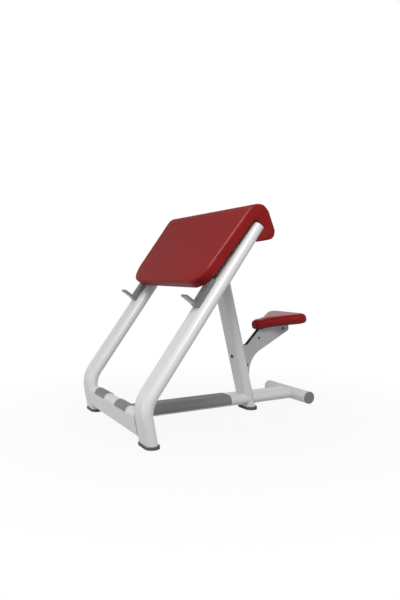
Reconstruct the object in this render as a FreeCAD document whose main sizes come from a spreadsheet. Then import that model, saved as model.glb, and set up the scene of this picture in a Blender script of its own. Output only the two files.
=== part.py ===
import FreeCAD, Part
import math
import os
import re
import Sketcher

# Preacher curl bench: two bent legs, a rear post, an arm pad with a rolled top and a small seat.
# Lengths in mm, angles in degrees. +Z is up, +Y points from the front legs to the seat.

SIZES = {
    # Frame: the origin lies this far behind the front feet, on the floor
    "origin_back": 455.0,
    "fit_gap": 0.3,
    # Leg tubes
    "leg_half_span": 330.0,
    "leg_lean": 10.0,
    "leg_end": 6.5,
    "knee_height": 160.0,
    "knee_radius": 120.0,
    "leg_slope": 53.9,
    "leg_length": 868.0,
    "cap_thick": 3.0,
    # Rubber feet
    "foot_height": 15.0,
    "leg_foot_height": 12.0,
    "foot_margin": 5.0,
    "foot_edge": 3.0,
    # Flat-oval tube, shared by legs, crossbar, beam, post and tail
    "oval_wide": 110.0,
    "oval_thick": 50.0,
    "oval_wall": 3.0,
    "seam": 1.5,
    "spigot_length": 70.0,
    "spigot_wall": 4.0,
    "screw_pitch": 40.0,
    # Front crossbar and its guards
    "crossbar_rise": 79.0,
    "guard_offset": 70.0,
    "guard_length": 120.0,
    "guard_wall": 3.0,
    "guard_lift": 8.0,
    # Base beam and its cover
    "beam_height": 54.0,
    "cover_offset": 80.0,
    "cover_length": 467.0,
    "cover_wall": 2.5,
    "cover_wrap": 12.0,
    # Rear post and tail
    "post_back": 673.5,
    "post_lean": 13.55,
    "post_end": 6.0,
    "post_top": 785.0,
    "cross_drop": 3.0,
    "cross_tube": 42.0,
    "round_tube": 60.0,
    "round_wall": 3.0,
    "tail_back": 927.0,
    "tail_half": 168.0,
    "tail_cap_thick": 5.0,
    # Bar hooks
    "hook_offset": 438.0,
    "hook_width": 44.0,
    "hook_nose": 3.0,
    "lip_thick": 10.0,
    "lip_rise": 58.0,
    "rail_length": 132.0,
    "hook_screw_size": 6.0,
    "hook_screw_head": 11.0,
    "hook_screw_sink": 4.0,
    "hook_screw_inset": 32.0,
    # Arm pad
    "pad_slope": 52.7,
    "pad_offset": 517.0,
    "pad_under_height": 57.0,
    "pad_thick": 45.0,
    "pad_peak_length": 989.0,
    "pad_half_low": 355.0,
    "pad_half_high": 390.0,
    "pad_corner": 95.0,
    "pad_clear": 2.0,
    "roll_radius": 57.0,
    "roll_angle": 57.8,
    "roll_depth": 176.0,
    "toe_length": 794.0,
    "toe_height": 1.0,
    "notch_length": 860.0,
    "notch_height": 9.0,
    "notch_reach": 882.0,
    "roll_heel_radius": 26.0,
    "notch_radius": 14.0,
    "board_thick": 12.0,
    "pad_board_inset": 9.0,
    "pad_board_long": 330.0,
    "pad_bolt_low": 85.0,
    "pad_bolt_high": 200.0,
    "pad_spacer": 26.0,
    "access_hole": 18.0,
    # Seat bracket
    "plate_gap": 20.0,
    "plate_thick": 5.0,
    "plate_low": 165.0,
    "plate_tall": 148.0,
    "plate_foot": 14.0,
    "plate_knee_depth": 37.5,
    "plate_knee_rise": 87.0,
    "plate_sweep": 116.0,
    "plate_rear_reach": 4.9,
    "plate_rear_drop": 40.3,
    "plate_notch_depth": 40.2,
    "plate_notch_rise": 2.0,
    "plate_round": 14.0,
    "block_low_inset": 37.0,
    "block_high_inset": 13.0,
    "block_margin": 6.7,
    "post_bolt_rise": 97.0,
    "low_bolt_depth": 12.8,
    "low_bolt_rise": 51.0,
    "rear_bolt_length": 155.9,
    "rear_bolt_drop": 25.5,
    "sight_hole": 12.0,
    "sight_hole_length": 4.1,
    "sight_hole_drop": 40.3,
    "pin_hole": 4.0,
    "pin_pitch": 27.0,
    "spacer_tube": 18.0,
    # Seat
    "seat_front": 720.0,
    "seat_height": 384.0,
    "seat_tilt": 10.0,
    "mount_thick": 4.0,
    "mount_half": 34.0,
    "mount_front": 14.0,
    "mount_long": 178.0,
    "seat_bolt_half": 24.0,
    "seat_bolt_front": 75.0,
    "seat_bolt_rear": 150.0,
    "seat_thick": 40.5,
    "seat_lift": 1.4,
    "seat_nose": 5.4,
    "seat_nose_half": 44.5,
    "seat_nose_radius": 30.0,
    "seat_waist": 63.5,
    "seat_waist_half": 39.8,
    "seat_waist_radius": 74.0,
    "seat_side": 178.0,
    "seat_side_half": 149.0,
    "seat_side_radius": 37.0,
    "seat_rear": 230.0,
    "seat_rear_half": 132.0,
    "seat_rear_radius": 36.0,
    "seat_edge": 27.0,
    "seat_inset": 5.0,
    # Fasteners
    "bolt_size": 8.0,
    "bolt_hole": 9.0,
    "head_wide": 14.0,
    "head_high": 4.5,
    "post_bolt_size": 12.0,
    "post_head_wide": 17.0,
    "nut_barrel": 10.4,
    "nut_flange": 22.0,
    "nut_flange_thick": 1.6,
}

doc = FreeCAD.newDocument("preacher_curl_bench")
sheet = doc.addObject("Spreadsheet::Sheet", "Sizes")
for row, (alias, number) in enumerate(SIZES.items(), start=1):
    sheet.set(f"A{row}", alias)
    sheet.set(f"B{row}", str(number))
    sheet.setAlias(f"B{row}", alias)
doc.recompute()

nodes = []


# Expressions: a size's bare name stands for its cell
def full(text):
    return re.sub(r"[a-z][a-z_]+", lambda m: "Sizes." + m[0] if m[0] in SIZES else m[0], text)


def value(text):
    return float(doc.Sizes.evalExpression(full(text)))


def bind(item, prop, text):
    item.setExpression(prop, full(text))


# Places that several pieces share, as (back, height, turn about X)
KNEE_BACK = "(0 - knee_height * tan(leg_lean))"
FLOOR = ("0", "0", "0")
LOWER_LEG = ("0", "0", "leg_lean")
UPPER_LEG = (KNEE_BACK, "knee_height", "leg_slope")
PAD = (KNEE_BACK, "knee_height", "pad_slope")
SEAT = ("seat_front", "seat_height", "seat_tilt")


def frame_placement(frame):
    back, height, turn = frame
    spot = FreeCAD.Vector(0, value(f"{back} - origin_back"), value(height))
    return FreeCAD.Placement(spot, FreeCAD.Rotation(FreeCAD.Vector(1, 0, 0), value(turn)))


def set_place(item, frame, across):
    back, height, turn = frame
    item.Placement = frame_placement(frame)
    bind(item, "Placement.Base.x", across)
    bind(item, "Placement.Base.y", f"{back} - origin_back")
    bind(item, "Placement.Base.z", height)
    if turn != "0":
        bind(item, "Placement.Rotation.Angle", turn)


def new_body(label, frame=FLOOR, across="0"):
    item = doc.addObject("PartDesign::Body", label)
    item.Label = label
    set_place(item, frame, across)
    return item


def keep(item):
    nodes.append(item)
    return item


# Sketches
def new_sketch(body, role, name):
    plane = next(f for f in body.Origin.OriginFeatures if f.Role == role)
    sketch = body.newObject("Sketcher::SketchObject", name)
    sketch.AttachmentSupport = (plane, [""])
    sketch.MapMode = "FlatFace"
    return sketch


def shift_sketch(sketch, x="0", y="0", z="0", turn="0"):
    axis = FreeCAD.Vector(0, 0, 1)
    sketch.AttachmentOffset = FreeCAD.Placement(FreeCAD.Vector(), FreeCAD.Rotation(axis, value(turn)))
    for letter, text in (("x", x), ("y", y), ("z", z)):
        bind(sketch, f"AttachmentOffset.Base.{letter}", text)
    if turn != "0":
        bind(sketch, "AttachmentOffset.Rotation.Angle", turn)


def driven(sketch, text, kind, *where):
    index = sketch.addConstraint(Sketcher.Constraint(kind, *where, value(text)))
    bind(sketch, f"Constraints[{index}]", text)


def fix_point(sketch, shape, end, x, y):
    for kind, text, axis in (("DistanceX", x, -2), ("DistanceY", y, -1)):
        if text == "0":
            sketch.addConstraint(Sketcher.Constraint("PointOnObject", shape, end, axis))
        else:
            driven(sketch, text, kind, -1, 1, shape, end)


def circle(sketch, x, y, radius):
    centre = FreeCAD.Vector(value(x), value(y), 0)
    shape = sketch.addGeometry(Part.Circle(centre, FreeCAD.Vector(0, 0, 1), value(radius)))
    fix_point(sketch, shape, 3, x, y)
    driven(sketch, radius, "Radius", shape)


def ring(sketch, x, y, radius, wall):
    circle(sketch, x, y, radius)
    circle(sketch, x, y, f"{radius} - {wall}")


# A slot with half-round ends; upright slots have their length along the sketch's second axis
def slot(sketch, x, y, length, thick, upright=False):
    radius = f"({thick}) / 2"
    half = f"(({length}) - ({thick})) / 2"
    if upright:
        first, second = (x, f"{y} - {half}"), (x, f"{y} + {half}")
        side = FreeCAD.Vector(value(radius), 0, 0)
        start = math.pi
    else:
        first, second = (f"{x} - {half}", y), (f"{x} + {half}", y)
        side = FreeCAD.Vector(0, -value(radius), 0)
        start = math.pi / 2
    low = FreeCAD.Vector(value(first[0]), value(first[1]), 0)
    high = FreeCAD.Vector(value(second[0]), value(second[1]), 0)
    up = FreeCAD.Vector(0, 0, 1)
    low_end = Part.ArcOfCircle(Part.Circle(low, up, value(radius)), start, start + math.pi)
    high_end = Part.ArcOfCircle(Part.Circle(high, up, value(radius)), start - math.pi, start)
    a = sketch.addGeometry(low_end)
    b = sketch.addGeometry(Part.LineSegment(low + side, high + side))
    c = sketch.addGeometry(high_end)
    d = sketch.addGeometry(Part.LineSegment(high - side, low - side))
    for one, other in ((a, b), (b, c), (c, d), (d, a)):
        sketch.addConstraint(Sketcher.Constraint("Tangent", one, 2, other, 1))
    fix_point(sketch, a, 3, *first)
    fix_point(sketch, c, 3, *second)
    driven(sketch, radius, "Radius", a)
    driven(sketch, radius, "Radius", c)


def slot_ring(sketch, x, y, length, thick, wall, upright=False):
    slot(sketch, x, y, length, thick, upright)
    slot(sketch, x, y, f"{length} - 2 * {wall}", f"{thick} - 2 * {wall}", upright)


# A line loop or path through corners (x, y) or (x, y, radius); a rounded corner gets a tangent arc
def outline(sketch, corners, closed=True):
    count = len(corners)
    points = [FreeCAD.Vector(value(c[0]), value(c[1]), 0) for c in corners]
    arcs = {}
    for i, corner in enumerate(corners):
        if len(corner) == 3:
            arcs[i] = corner_arc(points[i - 1], points[i], points[(i + 1) % count], value(corner[2]))
    lines = []
    for i in range(count if closed else count - 1):
        j = (i + 1) % count
        start = arcs[i]["leave"] if i in arcs else points[i]
        stop = arcs[j]["reach"] if j in arcs else points[j]
        lines.append(sketch.addGeometry(Part.LineSegment(start, stop)))
        if j in arcs:
            arcs[j]["shape"] = sketch.addGeometry(arcs[j]["curve"])
    for i, corner in enumerate(corners):
        before = lines[i - 1] if closed or i > 0 else None
        after = lines[i] if closed or i < count - 1 else None
        if i in arcs:
            round_corner(sketch, corner, points[i], arcs[i], before, after)
        elif before is None:
            fix_point(sketch, after, 1, corner[0], corner[1])
        else:
            fix_point(sketch, before, 2, corner[0], corner[1])
            if after is not None:
                sketch.addConstraint(Sketcher.Constraint("Coincident", before, 2, after, 1))


def corner_arc(before, corner, after, radius):
    to_before = (before - corner).normalize()
    to_after = (after - corner).normalize()
    half = to_before.getAngle(to_after) / 2
    reach = corner + to_before * (radius / math.tan(half))
    leave = corner + to_after * (radius / math.tan(half))
    inward = (to_before + to_after).normalize()
    middle = corner + inward * (radius / math.sin(half) - radius)
    left_turn = (corner - before).cross(after - corner).z > 0
    curve = Part.Arc(reach, middle, leave) if left_turn else Part.Arc(leave, middle, reach)
    ends = (1, 2) if left_turn else (2, 1)
    return {"reach": reach, "leave": leave, "curve": curve, "ends": ends}


def round_corner(sketch, corner, point, arc, before, after):
    mark = sketch.addGeometry(Part.Point(point), True)
    fix_point(sketch, mark, 1, corner[0], corner[1])
    sketch.addConstraint(Sketcher.Constraint("PointOnObject", mark, 1, before))
    sketch.addConstraint(Sketcher.Constraint("PointOnObject", mark, 1, after))
    sketch.addConstraint(Sketcher.Constraint("Tangent", before, 2, arc["shape"], arc["ends"][0]))
    sketch.addConstraint(Sketcher.Constraint("Tangent", arc["shape"], arc["ends"][1], after, 1))
    driven(sketch, corner[2], "Radius", arc["shape"])


# Features
def extrude(body, sketch, length, kind="Pad", both=False, back=False):
    feature = body.newObject(f"PartDesign::{kind}", f"{sketch.Name}_{kind.lower()}")
    feature.Profile = sketch
    feature.SideType = "Symmetric" if both else "One side"
    feature.Reversed = back
    bind(feature, "Length", length)
    sketch.Visibility = False
    doc.recompute()
    return feature


def round_edges(body, radius, wanted):
    base = body.Tip
    names = [f"Edge{i}" for i, edge in enumerate(base.Shape.Edges, start=1) if wanted(edge)]
    feature = body.newObject("PartDesign::Fillet", f"{body.Name}_rounding")
    feature.Base = (base, names)
    bind(feature, "Radius", radius)
    doc.recompute()
    return feature


def cut(label, base, *tools):
    item = base
    for count, tool in enumerate(tools, start=1):
        name = label if count == len(tools) else f"{label}_trim_{count}"
        result = doc.addObject("Part::Cut", name)
        result.Label = name
        result.Base = item
        result.Tool = tool
        item = result
    doc.recompute()
    return item


def mirrored(label, source):
    item = doc.addObject("Part::Mirroring", label)
    item.Source = source
    item.Normal = FreeCAD.Vector(1, 0, 0)
    item.Label = label
    doc.recompute()
    return item


def both_sides(name, right):
    right.Label = f"right_{name}"
    keep(right)
    keep(mirrored(f"left_{name}", right))


# Envelopes that shape the pieces meeting a tube
def lower_leg_envelope(name, gap):
    body = new_body(name, LOWER_LEG, "leg_half_span")
    sketch = new_sketch(body, "XY_Plane", f"{name}_outline")
    shift_sketch(sketch, z="leg_end")
    slot(sketch, "0", "0", f"oval_wide + 2 * ({gap})", f"oval_thick + 2 * ({gap})")
    extrude(body, sketch, "knee_height * 2")
    return body


def upper_leg_envelope(name, gap):
    body = new_body(name, UPPER_LEG, "leg_half_span")
    sketch = new_sketch(body, "XZ_Plane", f"{name}_outline")
    slot(sketch, "0", "0", f"oval_wide + 2 * ({gap})", f"oval_thick + 2 * ({gap})")
    extrude(body, sketch, f"leg_length + cap_thick + {gap}", back=True)
    return body


def crossbar_envelope():
    body = new_body("crossbar_envelope", LOWER_LEG)
    sketch = new_sketch(body, "YZ_Plane", "crossbar_envelope_outline")
    grow = "2 * fit_gap"
    slot(sketch, "0", "crossbar_rise", f"oval_wide + {grow}", f"oval_thick + {grow}", True)
    extrude(body, sketch, "2 * leg_half_span", both=True)
    return body


# The post is drawn on the floor plane and drawn out along its lean, so both ends stay level
def post_solid(name, grow, wall=None):
    body = new_body(name, ("post_back - post_end * tan(post_lean)", "post_end", "0"))
    sketch = new_sketch(body, "XY_Plane", f"{name}_outline")
    wide = f"(oval_wide + 2 * {grow})"
    deep = f"(oval_thick / cos(post_lean) + 2 * {grow})"
    if wall:
        slot_ring(sketch, "0", "0", wide, deep, wall)
    else:
        slot(sketch, "0", "0", wide, deep)
    pad = extrude(body, sketch, "post_top - post_end")
    pad.UseCustomVector = True
    pad.AlongSketchNormal = True
    pad.Direction = FreeCAD.Vector(0, -1, 1)
    bind(pad, "Direction.y", "0 - sin(post_lean)")
    bind(pad, "Direction.z", "cos(post_lean)")
    doc.recompute()
    return body


POST_DEEP = "oval_thick / cos(post_lean)"


def post_rear_face(height):
    return f"(post_back - ({height}) * tan(post_lean) + {POST_DEEP} / 2)"


# Legs, their feet and their end caps. The pad lies a little flatter than the legs, by SPLAY.
SPLAY = "(leg_slope - pad_slope)"
PAD_BOLTS = ("pad_offset + pad_bolt_low", "pad_offset + pad_bolt_high")
RAIL_END = "(hook_offset + rail_length)"
RAIL_TOP = f"((pad_under_height - fit_gap - {RAIL_END} * sin{SPLAY}) / cos{SPLAY})"
FRONT_SCREW = "hook_offset + hook_nose + lip_thick + hook_screw_inset / 2"
HOOK_SCREWS = (FRONT_SCREW, f"{RAIL_END} - hook_screw_inset / 2")


def turned_sketch(body, name, back, height, turn):
    sketch = new_sketch(body, "XY_Plane", name)
    about_x = FreeCAD.Rotation(FreeCAD.Vector(1, 0, 0), value(turn))
    sketch.AttachmentOffset = FreeCAD.Placement(FreeCAD.Vector(), about_x)
    bind(sketch, "AttachmentOffset.Base.y", back)
    bind(sketch, "AttachmentOffset.Base.z", height)
    bind(sketch, "AttachmentOffset.Rotation.Angle", turn)
    return sketch


def leg_holes(body, name, slope, spots, radius, upper):
    sketch = turned_sketch(body, name, KNEE_BACK, "knee_height", slope)
    for along in spots:
        circle(sketch, "0", along, radius)
    extrude(body, sketch, "oval_thick", "Pocket", back=upper)


def make_leg():
    body = new_body("right_leg_tube", FLOOR, "leg_half_span")
    path = new_sketch(body, "YZ_Plane", "leg_path")
    start = ("0 - leg_end * sin(leg_lean)", "leg_end * cos(leg_lean)")
    stop = (f"{KNEE_BACK} + leg_length * cos(leg_slope)", "knee_height + leg_length * sin(leg_slope)")
    outline(path, [start, (KNEE_BACK, "knee_height", "knee_radius"), stop], closed=False)
    doc.recompute()
    section = turned_sketch(body, "leg_section", *start, "leg_lean")
    slot_ring(section, "0", "0", "oval_wide", "oval_thick", "oval_wall")
    doc.recompute()
    pipe = body.newObject("PartDesign::AdditivePipe", "leg_pipe")
    pipe.Profile = section
    pipe.Spine = (path, ["Edge1", "Edge2", "Edge3"])
    doc.recompute()
    leg_holes(body, "leg_bolt_holes", "pad_slope", PAD_BOLTS, "bolt_hole / 2", True)
    leg_holes(body, "leg_access_holes", "pad_slope", PAD_BOLTS, "access_hole / 2", False)
    leg_holes(body, "leg_hook_holes", "leg_slope", HOOK_SCREWS, "hook_screw_size / 2 + fit_gap", True)
    both_sides("leg_tube", body)


def make_leg_cap():
    back = f"{KNEE_BACK} + leg_length * cos(leg_slope)"
    height = "knee_height + leg_length * sin(leg_slope)"
    body = new_body("right_leg_cap", (back, height, "leg_slope"), "leg_half_span")
    sketch = new_sketch(body, "XZ_Plane", "leg_cap_outline")
    slot(sketch, "0", "0", "oval_wide", "oval_thick")
    extrude(body, sketch, "cap_thick", back=True)
    plug = new_sketch(body, "XZ_Plane", "leg_cap_plug")
    shrink = "2 * (oval_wall + fit_gap)"
    slot(plug, "0", "0", f"oval_wide - {shrink}", f"oval_thick - {shrink}")
    extrude(body, plug, "5 * cap_thick")
    both_sides("leg_cap", body)


def rounded_foot(body, sketch, height):
    extrude(body, sketch, height)
    top = value(height)
    round_edges(body, "foot_edge", lambda edge: edge.BoundBox.ZMin > top - 0.01)


def make_leg_foot(leg_pocket):
    body = new_body("leg_foot_blank", FLOOR, "leg_half_span")
    sketch = new_sketch(body, "XY_Plane", "leg_foot_outline")
    deep = "oval_thick / cos(leg_lean)"
    slot(sketch, "0", "0", "oval_wide + 2 * foot_margin", f"{deep} + 2 * foot_margin")
    rounded_foot(body, sketch, "leg_foot_height")
    both_sides("leg_foot", cut("right_leg_foot", body, leg_pocket))


# Front crossbar, its spigots and guards
def make_crossbar(leg_seam):
    body = new_body("crossbar_blank", LOWER_LEG)
    sketch = new_sketch(body, "YZ_Plane", "crossbar_section")
    slot_ring(sketch, "0", "crossbar_rise", "oval_wide", "oval_thick", "oval_wall", True)
    extrude(body, sketch, "2 * leg_half_span", both=True)
    holes = new_sketch(body, "XZ_Plane", "crossbar_holes")
    for side in ("", "0 - "):
        for rise in SCREW_RISES:
            circle(holes, f"{side}({SCREW_ACROSS})", f"crossbar_rise + {rise}", "bolt_hole / 2")
    extrude(body, holes, "oval_thick", "Pocket")
    other_seam = mirrored("left_leg_seam", leg_seam)
    keep(cut("front_crossbar", body, leg_seam, other_seam))


SCREW_ACROSS = "leg_half_span - oval_wide / 2 - spigot_length / 2"
SCREW_RISES = ("(0 - screw_pitch / 2)", "screw_pitch / 2")
SPIGOT_WIDE = "(oval_wide - 2 * oval_wall - 2 * fit_gap)"
SPIGOT_THICK = "(oval_thick - 2 * oval_wall - 2 * fit_gap)"


def make_crossbar_spigot(leg_fit):
    start = "leg_half_span - oval_wide / 2 - spigot_length"
    body = new_body("crossbar_spigot_blank", LOWER_LEG, start)
    sketch = new_sketch(body, "YZ_Plane", "crossbar_spigot_section")
    slot_ring(sketch, "0", "crossbar_rise", SPIGOT_WIDE, SPIGOT_THICK, "spigot_wall", True)
    extrude(body, sketch, "spigot_length + oval_wide / 2")
    holes = new_sketch(body, "XZ_Plane", "crossbar_spigot_holes")
    for rise in SCREW_RISES:
        circle(holes, "spigot_length / 2", f"crossbar_rise + {rise}", "bolt_hole / 2")
    extrude(body, holes, "oval_thick", "Pocket")
    both_sides("crossbar_spigot", cut("right_crossbar_spigot", body, leg_fit))


def make_crossbar_guard():
    body = new_body("right_crossbar_guard", LOWER_LEG, "guard_offset")
    sketch = new_sketch(body, "YZ_Plane", "guard_section")
    inner = "(oval_thick / 2 + fit_gap)"
    outer = f"({inner} + guard_wall)"
    slot(sketch, "0", "crossbar_rise", f"oval_wide - oval_thick + 2 * {outer}", f"2 * {outer}", True)
    slot(sketch, "0", "crossbar_rise", f"oval_wide - oval_thick + 2 * {inner}", f"2 * {inner}", True)
    extrude(body, sketch, "guard_length")
    trim = new_sketch(body, "YZ_Plane", "guard_trim")
    edge = "crossbar_rise + (oval_wide - oval_thick) / 2 + guard_lift"
    far = "oval_wide"
    outline(trim, [(f"0 - {far}", f"0 - {far}"), (far, f"0 - {far}"), (far, edge), (f"0 - {far}", edge)])
    extrude(body, trim, "guard_length", "Pocket", back=True)
    both_sides("crossbar_guard", body)


# Base beam with its cover, tail beam, tail spigot, tail tube and caps
def make_base_beam(crossbar_solid, post_fit):
    body = new_body("base_beam_blank", ("0", "beam_height", "0"))
    sketch = new_sketch(body, "XZ_Plane", "base_beam_section")
    slot_ring(sketch, "0", "0", "oval_wide", "oval_thick", "oval_wall")
    extrude(body, sketch, "post_back - beam_height * tan(post_lean)", back=True)
    keep(cut("base_beam", body, crossbar_solid, post_fit))


def make_beam_cover():
    body = keep(new_body("beam_cover", ("cover_offset", "beam_height", "0")))
    sketch = new_sketch(body, "XZ_Plane", "cover_section")
    for grow in ("fit_gap + cover_wall", "fit_gap"):
        slot(sketch, "0", "0", f"oval_wide + 2 * ({grow})", f"oval_thick + 2 * ({grow})")
    extrude(body, sketch, "cover_length", back=True)
    trim = new_sketch(body, "XZ_Plane", "cover_trim")
    low, far = "0 - cover_wrap", "oval_wide"
    outline(trim, [(f"0 - {far}", f"0 - {far}"), (far, f"0 - {far}"), (far, low), (f"0 - {far}", low)])
    extrude(body, trim, "cover_length", "Pocket")


TAIL_START = "(post_back - beam_height * tan(post_lean))"
TAIL_SCREW = f"({post_rear_face('beam_height')} + spigot_length / 2)"


def tail_piece(name, wide, thick, wall, length):
    body = new_body(f"{name}_blank", (TAIL_START, "beam_height", "0"))
    sketch = new_sketch(body, "XZ_Plane", f"{name}_section")
    slot_ring(sketch, "0", "0", wide, thick, wall)
    extrude(body, sketch, length, back=True)
    holes = new_sketch(body, "XY_Plane", f"{name}_holes")
    for across in SCREW_RISES:
        circle(holes, across, f"{TAIL_SCREW} - {TAIL_START}", "bolt_hole / 2")
    extrude(body, holes, "oval_thick", "Pocket")
    return body


def make_tail(post_seam, post_fit):
    beam = tail_piece("tail_beam", "oval_wide", "oval_thick", "oval_wall", f"tail_back - {TAIL_START}")
    round_fit = new_body("tail_tube_envelope", ("tail_back", "beam_height", "0"))
    sketch = new_sketch(round_fit, "YZ_Plane", "tail_tube_outline")
    circle(sketch, "0", "0", "round_tube / 2 + fit_gap")
    extrude(round_fit, sketch, "2 * tail_half", both=True)
    keep(cut("tail_beam", beam, post_seam, round_fit))
    reach = f"{post_rear_face('beam_height')} + spigot_length - {TAIL_START}"
    spigot = tail_piece("tail_spigot", SPIGOT_WIDE, SPIGOT_THICK, "spigot_wall", reach)
    keep(cut("tail_spigot", spigot, post_fit))


def make_tail_tube():
    body = keep(new_body("tail_tube", ("tail_back", "beam_height", "0")))
    sketch = new_sketch(body, "YZ_Plane", "tail_tube_section")
    ring(sketch, "0", "0", "round_tube / 2", "round_wall")
    extrude(body, sketch, "2 * (tail_half - tail_cap_thick)", both=True)


def make_tail_cap():
    body = new_body("right_tail_cap", ("tail_back", "beam_height", "0"), "tail_half - tail_cap_thick")
    disc = new_sketch(body, "YZ_Plane", "tail_cap_disc")
    circle(disc, "0", "0", "round_tube / 2")
    extrude(body, disc, "tail_cap_thick")
    far = value("tail_cap_thick") - 0.01
    round_edges(body, "tail_cap_thick / 3", lambda edge: edge.BoundBox.XMin > far)
    plug = new_sketch(body, "YZ_Plane", "tail_cap_plug")
    circle(plug, "0", "0", "round_tube / 2 - round_wall - fit_gap")
    extrude(body, plug, "3 * tail_cap_thick", back=True)
    both_sides("tail_cap", body)


# Rear post with its foot and cap, upper cross tube
def make_post():
    body = keep(post_solid("rear_post", "0", "oval_wall"))
    hole = new_sketch(body, "XZ_Plane", "post_bolt_hole")
    circle(hole, "0", f"{POST_BOLT_HEIGHT} - post_end", "post_bolt_size / 2 + fit_gap")
    extrude(body, hole, "post_back", "Pocket", both=True)


def make_rear_foot(post_fit):
    body = new_body("rear_foot_blank", ("post_back", "0", "0"))
    sketch = new_sketch(body, "XY_Plane", "rear_foot_outline")
    slot(sketch, "0", "0", "oval_wide + 2 * foot_margin", f"{POST_DEEP} + 2 * foot_margin")
    rounded_foot(body, sketch, "foot_height")
    keep(cut("rear_foot", body, post_fit))


def make_post_cap():
    body = keep(new_body("post_cap", ("post_back - post_top * tan(post_lean)", "post_top", "0")))
    sketch = new_sketch(body, "XY_Plane", "post_cap_outline")
    slot(sketch, "0", "0", "oval_wide", POST_DEEP)
    extrude(body, sketch, "cap_thick")


# The cross tube touches the post's front face, just below the middle of the legs
CROSS_ROOM = "(oval_thick / 2 + cross_tube / 2 + fit_gap) / cos(post_lean)"
CROSS_RUN = f"(post_back - {CROSS_ROOM} - {KNEE_BACK} - knee_height * tan(post_lean))"
CROSS_SLIDE = "cross_drop * (sin(leg_slope) - cos(leg_slope) * tan(post_lean))"
CROSS_ALONG = f"({CROSS_RUN} - {CROSS_SLIDE}) / (cos(leg_slope) + sin(leg_slope) * tan(post_lean))"


def cross_tube_solid(name, grow, wall=None):
    body = new_body(name, UPPER_LEG)
    sketch = new_sketch(body, "YZ_Plane", f"{name}_outline")
    circle(sketch, CROSS_ALONG, "0 - cross_drop", f"cross_tube / 2 + {grow}")
    if wall:
        circle(sketch, CROSS_ALONG, "0 - cross_drop", f"cross_tube / 2 - {wall}")
    extrude(body, sketch, "2 * leg_half_span", both=True)
    return body


def make_upper_cross_tube(leg_fit, other_fit):
    blank = cross_tube_solid("upper_cross_tube_blank", "0", "round_wall")
    keep(cut("upper_cross_tube", blank, leg_fit, other_fit))


# Bar hooks: a rail lying on the leg with an upright lip
def make_bar_hook():
    body = new_body("right_bar_hook", UPPER_LEG, "leg_half_span")
    sketch = new_sketch(body, "YZ_Plane", "hook_outline")
    lip_low = "hook_offset + hook_nose"
    lip_high = f"{lip_low} + lip_thick"
    lip_top = f"{RAIL_TOP} + lip_rise"
    low = "oval_thick / 2"
    corners = [("hook_offset", low), (RAIL_END, low), (RAIL_END, RAIL_TOP)]
    corners += [(lip_high, RAIL_TOP, "lip_thick / 2")]
    corners += [(lip_high, lip_top, "lip_thick / 3"), (lip_low, lip_top, "lip_thick / 3")]
    corners += [(lip_low, RAIL_TOP), ("hook_offset", f"{RAIL_TOP} - hook_nose")]
    outline(sketch, corners)
    extrude(body, sketch, "hook_width", both=True)
    for name, radius, depth in (("bore", "hook_screw_size / 2 + fit_gap", "oval_thick"),
                                ("sink", "hook_screw_head / 2 + fit_gap", "hook_screw_sink")):
        holes = new_sketch(body, "XY_Plane", f"hook_{name}")
        shift_sketch(holes, z=RAIL_TOP)
        for along in HOOK_SCREWS:
            circle(holes, "0", along, radius)
        extrude(body, holes, depth, "Pocket")
    both_sides("bar_hook", body)


# Arm pad: slab parallel to the legs, rolled over their tops, and its plywood board
PAD_TOP = "(pad_under_height + pad_thick)"


def pad_board_outline(sketch, grow):
    half = f"pad_half_low - pad_board_inset + {grow}"
    low = f"pad_offset + pad_board_inset - {grow}"
    high = f"pad_offset + pad_board_long + {grow}"
    corner = "pad_corner - pad_board_inset"
    lower = [(f"0 - ({half})", low, corner), (half, low, corner)]
    outline(sketch, lower + [(half, high), (f"0 - ({half})", high)])


def make_arm_pad(leg_room, cross_room):
    body = new_body("arm_pad_blank", PAD)
    profile = new_sketch(body, "YZ_Plane", "pad_profile")
    heel = ("pad_peak_length - roll_depth / tan(roll_angle)", f"{PAD_TOP} - roll_depth", "roll_heel_radius")
    corners = [("pad_offset", "pad_under_height"), ("notch_reach", "pad_under_height", "notch_radius")]
    corners += [("notch_length", "notch_height", "notch_radius"), ("toe_length", "toe_height"), heel]
    corners += [("pad_peak_length", PAD_TOP, "roll_radius"), ("pad_offset", PAD_TOP)]
    outline(profile, corners)
    extrude(body, profile, "2 * pad_half_high", both=True)
    plan = new_sketch(body, "XY_Plane", "pad_plan")
    far = "(2 * pad_half_high)"
    low, high = "pad_offset - pad_half_high", "pad_peak_length + pad_half_high"
    outline(plan, [(f"0 - {far}", low), (far, low), (far, high), (f"0 - {far}", high)])
    left, right = "0 - pad_half_low", "pad_half_low"
    lower = [(left, "pad_offset", "pad_corner"), (right, "pad_offset", "pad_corner")]
    outline(plan, lower + [("pad_half_high", "pad_peak_length"), ("0 - pad_half_high", "pad_peak_length")])
    extrude(body, plan, "4 * roll_depth", "Pocket", both=True)
    recess = new_sketch(body, "XY_Plane", "pad_recess")
    shift_sketch(recess, z="pad_under_height")
    pad_board_outline(recess, "fit_gap")
    extrude(body, recess, "board_thick", "Pocket", back=True)
    other_room = mirrored("left_leg_room", leg_room)
    keep(cut("arm_pad", body, leg_room, other_room, cross_room))


# Boards: plywood with counterbored holes for the tee nuts
def board_holes(body, name, spots):
    for kind, radius, depth in (("flange", "nut_flange / 2 + fit_gap", "nut_flange_thick"),
                                ("barrel", "nut_barrel / 2 + fit_gap", "board_thick")):
        holes = new_sketch(body, "XY_Plane", f"{name}_{kind}_holes")
        shift_sketch(holes, z="board_thick")
        for across, along in spots:
            circle(holes, across, along, radius)
        extrude(body, holes, depth, "Pocket")


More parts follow.
